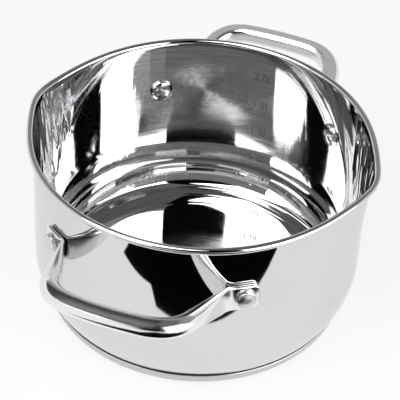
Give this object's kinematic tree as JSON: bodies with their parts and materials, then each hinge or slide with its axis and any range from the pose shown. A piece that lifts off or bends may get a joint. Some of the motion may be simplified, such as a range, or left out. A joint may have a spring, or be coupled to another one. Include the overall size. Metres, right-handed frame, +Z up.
{
  "type": "cooking pot",
  "caption": "Round stainless steel cooking pot with pouring lips in a rolled rim, riveted tubular loop handles and a bonded disc base.",
  "frame": {"origin": "centre of the base's underside, on the surface that the pot stands on", "axes": "+Z up along the pot's axis, handles along Y with the front handle at -Y, pouring lips along X"},
  "size_m": [0.1962, 0.2714, 0.106],
  "materials": {
    "mirror_steel": "mirror polished outside, finely brushed inside",
    "tube_steel": "polished tube",
    "satin_steel": "satin, turned underneath",
    "rivet_steel": "polished heads",
    "spreader_aluminium": "bare"
  },
  "bodies": {
    "root": {"pot_body": "mirror_steel", "heat_spreader": "spreader_aluminium", "base_cap": "satin_steel", "handle_front": "tube_steel", "handle_rear": "tube_steel", "rivet_front_left": "rivet_steel", "rivet_front_right": "rivet_steel", "rivet_rear_left": "rivet_steel", "rivet_rear_right": "rivet_steel"}
  },
  "joints": []
}
